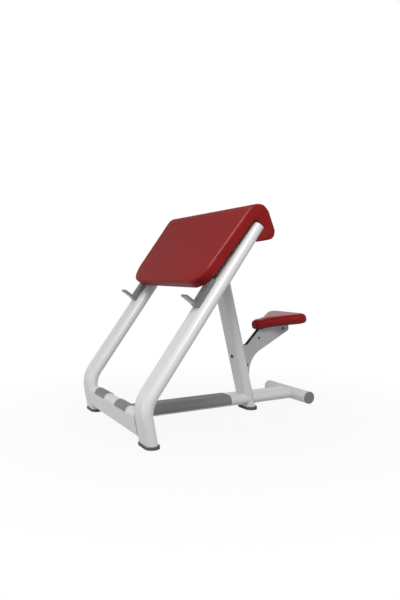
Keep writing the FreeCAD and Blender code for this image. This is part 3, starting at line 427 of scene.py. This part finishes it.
def off_the_board(points, slope, board):
    """Rises from 0 on the board's faces to 1 some way above its top; points are in the turned frame."""
    held = read_points(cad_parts[board].data) @ turn_about_x(-slope)
    low, high = held.min(0), held.max(0)
    flat = points[:, :2]
    near = np.all((flat > low[:2] - BOARD_MARGIN) & (flat < high[:2] + BOARD_MARGIN), axis=1)
    rise = np.clip((points[:, 2] - high[2] - HELD_SKIN) / BOARD_FADE, 0, 1)
    return np.where(near & (points[:, 2] > low[2] - BOARD_UNDER), rise, 1.0)


class BenchColours(bpy.types.PropertyGroup):
    """Colours of the bench's finishes."""

    frame_coat: FloatVectorProperty(
        name="Frame coat", description="Powder coat of the tubes", subtype="COLOR",
        default=linear("#E6E6E6"), min=0, max=1)
    plate_coat: FloatVectorProperty(
        name="Bracket coat", description="Powder coat of the seat bracket", subtype="COLOR",
        default=linear("#BCBDBE"), min=0, max=1)
    hook_coat: FloatVectorProperty(
        name="Hook coat", description="Powder coat of the bar hooks", subtype="COLOR",
        default=linear("#6B6C6C"), min=0, max=1)
    plastic: FloatVectorProperty(
        name="Guards", description="Moulded guards, cover and caps", subtype="COLOR",
        default=linear("#888888"), min=0, max=1)
    rubber: FloatVectorProperty(
        name="Rubber", description="Feet, and spacers under the arm pad", subtype="COLOR",
        default=linear("#5E5E5E"), min=0, max=1)
    cover: FloatVectorProperty(
        name="Upholstery", description="Leatherette of the cushions", subtype="COLOR",
        default=linear("#901E20"), min=0, max=1)
    # Dark as painted shade under the cushions, where the boards' edges show
    ply: FloatVectorProperty(
        name="Boards", description="Stained plywood behind the cushions", subtype="COLOR",
        default=linear("#3A332D"), min=0, max=1)
    zinc: FloatVectorProperty(
        name="Fasteners", description="Zinc-plated bolts and nuts", subtype="COLOR",
        default=linear("#B9BBBD"), min=0, max=1)
    # Black of the hole plugs, and painted shade on the coat of the hidden inserts
    plug_and_seam_shade: FloatVectorProperty(
        name="Black parts", description="Plugs of the holes and coat of the hidden inserts", subtype="COLOR",
        default=linear("#0E0E0F"), min=0, max=1)
    oxide: FloatVectorProperty(
        name="Dark fasteners", description="Blackened bolts of the post and bracket", subtype="COLOR",
        default=linear("#47484A"), min=0, max=1)


class BenchCushions(bpy.types.PropertyGroup):
    """How the cushions are meshed and blown up."""

    arm_mesh: FloatProperty(
        name="Arm pad mesh", description="Side of the arm pad's squares", default=4.5 * MM, unit="LENGTH")
    seat_mesh: FloatProperty(
        name="Seat mesh", description="Side of the seat's squares", default=4.0 * MM, unit="LENGTH")
    shrink: FloatProperty(
        name="Shrink", description="How much smaller the cushions start", default=0.6 * MM, unit="LENGTH")
    wadding: FloatProperty(
        name="Wadding", description="Thickness of the wadding under the cover", default=3.5 * MM,
        unit="LENGTH")
    arm_crown: FloatProperty(
        name="Arm pad crown", description="Most that the arm pad swells", default=1.5 * MM, unit="LENGTH")
    seat_crown: FloatProperty(
        name="Seat crown", description="Most that the seat swells", default=1.0 * MM, unit="LENGTH")
    pressure: FloatProperty(
        name="Pressure", description="Air pressure of the blown cushions", default=4.0)
    arm_rounds: IntProperty(
        name="Arm pad rounding", description="Rounds of relaxing along the arm pad's edges", default=1, min=0)
    seat_rounds: IntProperty(
        name="Seat rounding", description="Rounds of relaxing along the seat's edges", default=5, min=0)


class BenchStudio(bpy.types.PropertyGroup):
    """Floor and light."""

    floor: FloatVectorProperty(
        name="Floor", description="Colour of the floor", subtype="COLOR",
        default=linear("#9C9C9C"), min=0, max=1)
    reach: FloatProperty(
        name="Floor reach", description="Half the floor's side", default=14.0, unit="LENGTH")
    ambient: FloatProperty(name="Ambient", description="Strength of the even light", default=0.36)
    key: FloatProperty(name="Key", description="Power of the main lamp", default=66.0, unit="POWER")
    fill: FloatProperty(name="Fill", description="Power of the second lamp", default=12.0, unit="POWER")
    shine: FloatProperty(
        name="Shine", description="Power of the lamp that lights the edges", default=230.0, unit="POWER")
    sheen: FloatProperty(
        name="Sheen", description="Power of the lamp behind the seat", default=14.0, unit="POWER")


class BENCH_OT_finishes(bpy.types.Operator):
    """Give every rigid node its coat, plastic, rubber, board or metal"""

    bl_idname = "bench.finishes"
    bl_label = "Finish the frame"

    def execute(self, context):
        colours = context.scene.bench_colours
        made = {
            "white_coat": powder_coat("white_powder_coat", colours.frame_coat, 0.32, 0.42),
            # The bracket's inner faces, out to PLATE_INSIDE, carry painted shade
            "grey_coat": powder_coat("grey_powder_coat", colours.plate_coat, 0.36, 0.46, PLATE_INSIDE),
            "dark_coat": powder_coat("dark_powder_coat", colours.hook_coat, 0.36, 0.46),
            # Painted shade: black on the inserts darkens the seams where they show
            "black_seam_shade": powder_coat("black_powder_coat", colours.plug_and_seam_shade, 0.36, 0.46),
            "dark_plastic": moulded_plastic("moulded_polypropylene", colours.plastic),
            "black_rubber": moulded_rubber("moulded_rubber", colours.rubber),
            "plywood": birch_ply("stained_birch_plywood", colours.ply),
            "black_nylon": moulded_plastic("moulded_black_nylon", colours.plug_and_seam_shade),
            "steel": plated_steel("zinc_plated_steel", colours.zinc),
            "black_steel": plated_steel("black_oxide_steel", colours.oxide),
        }
        for slot, names in FINISH_NODES.items():
            for name in names:
                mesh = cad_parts[name].data
                mesh.materials.clear()
                mesh.materials.append(made[slot])
        return {"FINISHED"}


class BENCH_OT_arm_cushion(bpy.types.Operator):
    """Blow up the arm pad's cushion"""

    bl_idname = "bench.arm_cushion"
    bl_label = "Arm pad cushion"

    def execute(self, context):
        sizes = context.scene.bench_cushions
        piece = cushion_blank("arm_cushion", "arm_pad", PAD_SLOPE, sizes.arm_mesh, sizes.arm_rounds)
        points = read_points(piece.data)
        free = away_from_legs(points, PAD_SLOPE) * away_from_cross_tube(points, PAD_SLOPE)
        free *= off_the_board(points, PAD_SLOPE, "arm_pad_board")
        swell(piece, sizes, sizes.arm_crown, free)
        settle(piece, PAD_SLOPE, "arm_pad", upholstery(context))
        return {"FINISHED"}


class BENCH_OT_seat_cushion(bpy.types.Operator):
    """Blow up the seat's cushion"""

    bl_idname = "bench.seat_cushion"
    bl_label = "Seat cushion"

    def execute(self, context):
        sizes = context.scene.bench_cushions
        piece = cushion_blank("seat_cushion", "seat_pad", SEAT_TILT, sizes.seat_mesh, sizes.seat_rounds)
        points = read_points(piece.data)
        free = off_the_board(points, SEAT_TILT, "seat_board")
        swell(piece, sizes, sizes.seat_crown, free)
        settle(piece, SEAT_TILT, "seat_pad", upholstery(context))
        finer = piece.modifiers.new("finer", "SUBSURF")
        finer.levels = 1
        finer.render_levels = 1
        return {"FINISHED"}


def upholstery(context):
    """The cushions share one leatherette."""
    name = "red_leatherette"
    return bpy.data.materials.get(name) or leatherette(name, context.scene.bench_colours.cover)


class BENCH_OT_studio(bpy.types.Operator):
    """Set up the floor, the light and the camera"""

    bl_idname = "bench.studio"
    bl_label = "Studio"

    def execute(self, context):
        studio = context.scene.bench_studio
        lay_floor(studio)
        light_room(context.scene, studio)
        place_camera(context.scene)
        context.scene.view_settings.view_transform = "Standard"
        return {"FINISHED"}


def lay_floor(studio):
    """A square at floor level: its corners are the signs of X and Y times the reach."""
    signs = np.array([[-1, -1, 0], [1, -1, 0], [1, 1, 0], [-1, 1, 0]], float)
    mesh = bpy.data.meshes.new("studio_floor")
    mesh.from_pydata((signs * studio.reach).tolist(), [], [(0, 1, 2, 3)])
    floor = show("studio_floor", mesh)
    mesh.materials.append(floor_paint(studio))


# Matt grey floor paint; what the camera and reflections see of it is nearly the background's white, and
# wholly so away from the bench, so that only a faint shadow is left
def floor_paint(studio):
    dull = {"Roughness": 0.9, "Specular IOR Level": 0.1}
    material, tree, shader, place = new_material("matt_floor_paint", dull)
    speck = node(tree, "ShaderNodeTexNoise", {"Vector": place, "Scale": per_mm(40), "Detail": 3.0})
    two_tone(tree, shader, speck.outputs["Fac"], studio.floor, 0.99)
    away = node(tree, "ShaderNodeVectorMath", {0: place}, operation="LENGTH")
    fade = node(tree, "ShaderNodeMapRange", {
        "Value": away.outputs["Value"], "From Min": FLOOR_FADE_START, "From Max": FLOOR_FADE_END,
        "To Min": FLOOR_NEAR_SHARE,
    })
    seen = seen_white(tree, 1.0)
    share = node(tree, "ShaderNodeMath", {0: fade.outputs["Result"], 1: seen}, operation="MULTIPLY")
    white = node(tree, "ShaderNodeEmission", {"Color": (1, 1, 1, 1), "Strength": 1.0})
    mixed = node(tree, "ShaderNodeMixShader",
                 {0: share.outputs["Value"], 1: shader.outputs[0], 2: white.outputs[0]})
    tree.links.new(mixed.outputs[0], tree.nodes["Material Output"].inputs["Surface"])
    return material


def seen_white(tree, reflected):
    """1 for rays from the camera or through glass, reflected for glossy rays, 0 for rays that give light."""
    path = node(tree, "ShaderNodeLightPath")
    glossy = {0: path.outputs["Is Glossy Ray"], 1: reflected}
    seen = node(tree, "ShaderNodeMath", glossy, operation="MULTIPLY").outputs["Value"]
    for kind in ("Is Camera Ray", "Is Transmission Ray"):
        either = {0: seen, 1: path.outputs[kind]}
        seen = node(tree, "ShaderNodeMath", either, operation="MAXIMUM").outputs["Value"]
    return seen


def light_room(scene, studio):
    """White room, dimmer above for reflections, with a soft main lamp on the right, a weaker one in front
    and two that only draw highlights on the cushions, one above the front and one behind the seat."""
    world = bpy.data.worlds.new("white_room")
    world.use_nodes = True
    scene.world = world
    tree = world.node_tree
    direction = node(tree, "ShaderNodeTexCoord").outputs["Generated"]
    height = node(tree, "ShaderNodeSeparateXYZ", {0: direction}).outputs["Z"]
    dim = node(tree, "ShaderNodeMapRange", {
        "Value": height, "From Min": DIM_LOW, "From Max": DIM_HIGH, "To Min": 1.0, "To Max": 0.0,
    })
    seen = seen_white(tree, dim.outputs["Result"])
    strength = node(tree, "ShaderNodeMapRange", {"Value": seen, "To Min": studio.ambient, "To Max": 1.0})
    back = tree.nodes["Background"]
    back.inputs["Color"].default_value = (1, 1, 1, 1)
    tree.links.new(strength.outputs["Result"], back.inputs["Strength"])
    for name, (spot, side, shone_on) in LAMPS.items():
        hang_lamp(scene, name + "_lamp", spot, side, getattr(studio, name), shone_on)


def hang_lamp(scene, name, spot, side, power, shone_on):
    """Hangs a square lamp that looks at the bench; if it names pieces, it only draws highlights on these."""
    light = bpy.data.lights.new(name, "AREA")
    light.size = side
    light.energy = power
    lamp = bpy.data.objects.new(name, light)
    lamp.location = spot
    lamp.rotation_euler = (Vector(LAMP_TARGET) - Vector(spot)).to_track_quat("-Z", "Y").to_euler()
    scene.collection.objects.link(lamp)
    if shone_on:
        lamp.visible_diffuse = False
        receivers = bpy.data.collections.new(name)
        for piece in shone_on:
            receivers.objects.link(bpy.data.objects[piece])
        lamp.light_linking.receiver_collection = receivers


def place_camera(scene):
    """The camera looks along the photo's azimuth and elevation; its long side is the image height."""
    camera = bpy.data.cameras.new("photo_camera")
    camera.sensor_width = 36.0
    camera.lens = FOCAL_PIXELS / IMAGE_HEIGHT * camera.sensor_width
    viewer = bpy.data.objects.new("photo_camera", camera)
    azimuth, elevation = math.radians(CAMERA_AZIMUTH), math.radians(CAMERA_ELEVATION)
    level = math.cos(elevation)
    back = Vector((math.sin(azimuth) * level, -math.cos(azimuth) * level, math.sin(elevation)))
    viewer.location = CAMERA_SPOT
    viewer.rotation_euler = (-back).to_track_quat("-Z", "Y").to_euler()
    scene.collection.objects.link(viewer)
    scene.camera = viewer


class BENCH_PT_panel(bpy.types.Panel):
    """Shows the bench's colour, cushion and studio settings and its operators in the sidebar"""

    bl_idname = "BENCH_PT_panel"
    bl_label = "Preacher curl bench"
    bl_space_type = "VIEW_3D"
    bl_region_type = "UI"
    bl_category = "Bench"

    def draw(self, context):
        for group in ("bench_colours", "bench_cushions", "bench_studio"):
            holder = getattr(context.scene, group)
            for name in holder.__annotations__:
                self.layout.prop(holder, name)
        for operator in OPERATORS:
            self.layout.operator(operator.bl_idname)


OPERATORS = (BENCH_OT_finishes, BENCH_OT_arm_cushion, BENCH_OT_seat_cushion, BENCH_OT_studio)
CLASSES = (BenchColours, BenchCushions, BenchStudio, *OPERATORS, BENCH_PT_panel)


def register():
    for made in CLASSES:
        bpy.utils.register_class(made)
    bpy.types.Scene.bench_colours = PointerProperty(type=BenchColours)
    bpy.types.Scene.bench_cushions = PointerProperty(type=BenchCushions)
    bpy.types.Scene.bench_studio = PointerProperty(type=BenchStudio)


def unregister():
    del bpy.types.Scene.bench_studio
    del bpy.types.Scene.bench_cushions
    del bpy.types.Scene.bench_colours
    for made in reversed(CLASSES):
        bpy.utils.unregister_class(made)


def main():
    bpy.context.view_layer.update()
    register()
    bpy.ops.bench.finishes()
    bpy.ops.bench.arm_cushion()
    bpy.ops.bench.seat_cushion()
    bpy.ops.bench.studio()


if __name__ == "__main__":
    main()
